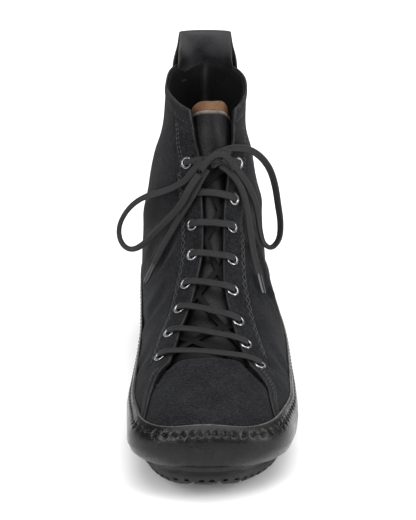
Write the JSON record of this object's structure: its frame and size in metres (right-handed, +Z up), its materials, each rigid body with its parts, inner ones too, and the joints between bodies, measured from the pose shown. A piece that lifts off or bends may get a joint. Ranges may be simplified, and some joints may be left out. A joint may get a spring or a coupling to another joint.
{
  "type": "high top sneaker",
  "caption": "Left high top lace-up sneaker with a leather band above a flat lugged rubber sole, metal eyelets, a loose bow and a pull loop at the heel.",
  "frame": {"origin": "middle of the shoe's box without its loose lace, on the floor", "axes": "+X to the wearer's left (the outer side), -Y to the toe, +Y to the heel, +Z up from the floor"},
  "size_m": [0.1134, 0.286, 0.202],
  "materials": {
    "cloth": "matte fine charcoal cloth",
    "leather": "glossy smooth black leather",
    "tongue": "smooth dark leather, satin",
    "lining": "matte tan lining",
    "rubber": "black rubber, satin",
    "eyelet": "bright rolled metal",
    "lace": "waxed flat woven lace"
  },
  "bodies": {
    "root": {"aglet_lateral": "lace", "aglet_medial": "lace", "eyelet_lateral_1": "eyelet", "eyelet_lateral_2": "eyelet", "eyelet_lateral_3": "eyelet", "eyelet_lateral_4": "eyelet", "eyelet_lateral_5": "eyelet", "eyelet_lateral_6": "eyelet", "eyelet_lateral_7": "eyelet", "eyelet_lateral_8": "eyelet", "eyelet_medial_1": "eyelet", "eyelet_medial_2": "eyelet", "eyelet_medial_3": "eyelet", "eyelet_medial_4": "eyelet", "eyelet_medial_5": "eyelet", "eyelet_medial_6": "eyelet", "eyelet_medial_7": "eyelet", "eyelet_medial_8": "eyelet", "insole": "lining", "lace_crossings": "lace", "lace_end_lateral": "lace", "lace_end_medial": "lace", "lace_knot": "lace", "lace_loop_lateral": "lace", "lace_loop_medial": "lace", "outsole": "rubber", "pull_loop": "leather", "rand": "leather", "tongue": "tongue", "upper": "cloth"}
  },
  "joints": []
}
